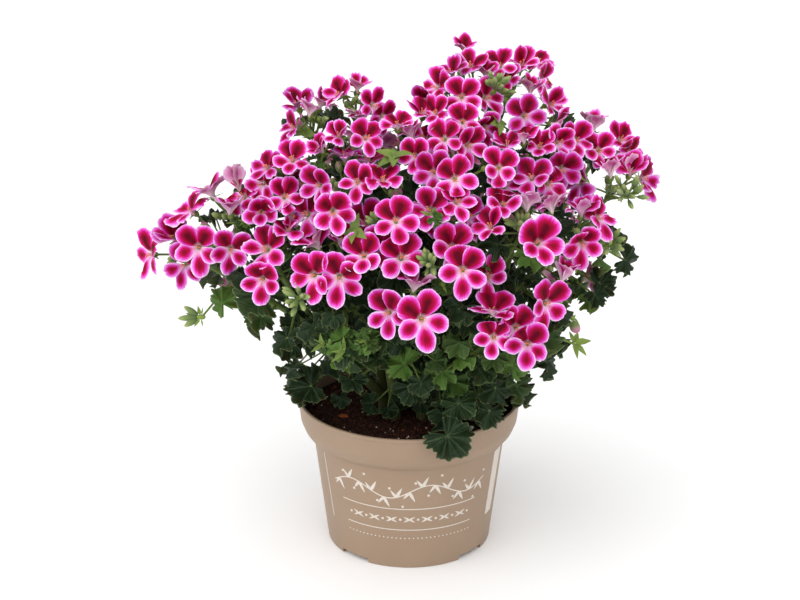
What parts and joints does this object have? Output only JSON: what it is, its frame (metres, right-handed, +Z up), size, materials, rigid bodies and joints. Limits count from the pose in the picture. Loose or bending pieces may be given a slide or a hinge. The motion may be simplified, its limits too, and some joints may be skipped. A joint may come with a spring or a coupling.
{
  "type": "potted angel pelargonium",
  "caption": "Potted angel pelargonium in bloom: leafy stems, crimson and pink five-petalled blooms in rounded heads, soil and a tapered plastic nursery pot.",
  "frame": {"origin": "centre of the pot's foot", "axes": "+Z up out of the pot, -Y towards the plant's front, +X to the right in the front view"},
  "size_m": [0.39, 0.2769, 0.3826],
  "materials": {
    "pot": "semi-matte moulded polypropylene, warm taupe",
    "soil": "dark peat potting mix with pale grains",
    "stem": "green stems and leaves, finely hairy, satin",
    "bloom": "soft petals, dark crimson blotch to magenta with a pale pink edge"
  },
  "bodies": {
    "root": {"pot": "pot", "soil": "soil", "stem_west": "stem", "stem_north_west": "stem", "stem_front_left": "stem", "stem_crown": "stem", "stem_front_right": "stem", "stem_east": "stem", "stem_back_right": "stem", "stem_back_left": "stem", "head_west_tip": "bloom", "head_west_low": "bloom", "head_west_high": "bloom", "head_west_front": "bloom", "head_north_west": "bloom", "head_west_mid": "bloom", "head_west_crown": "bloom", "head_north_left": "bloom", "head_upper_left": "bloom", "head_mid_left": "bloom", "head_centre_left": "bloom", "head_front_left": "bloom", "head_centre": "bloom", "head_centre_up": "bloom", "head_north_mid": "bloom", "head_crown_left": "bloom", "head_crown_mid": "bloom", "head_crown_top": "bloom", "head_peak": "bloom", "head_peak_front": "bloom", "head_right_top": "bloom", "head_centre_right": "bloom", "head_centre_mid": "bloom", "head_centre_low": "bloom", "head_right_mid": "bloom", "head_right_front": "bloom", "head_east_mid": "bloom", "head_east_top": "bloom", "head_east_tip": "bloom", "head_front_centre": "bloom", "head_front_right": "bloom", "head_right_low": "bloom", "head_back_1": "bloom", "head_back_2": "bloom", "head_back_3": "bloom", "head_back_4": "bloom", "head_back_5": "bloom", "head_back_6": "bloom", "head_back_7": "bloom", "head_back_8": "bloom", "head_back_9": "bloom", "head_back_10": "bloom", "head_back_11": "bloom", "head_back_12": "bloom", "head_back_13": "bloom"}
  },
  "joints": []
}
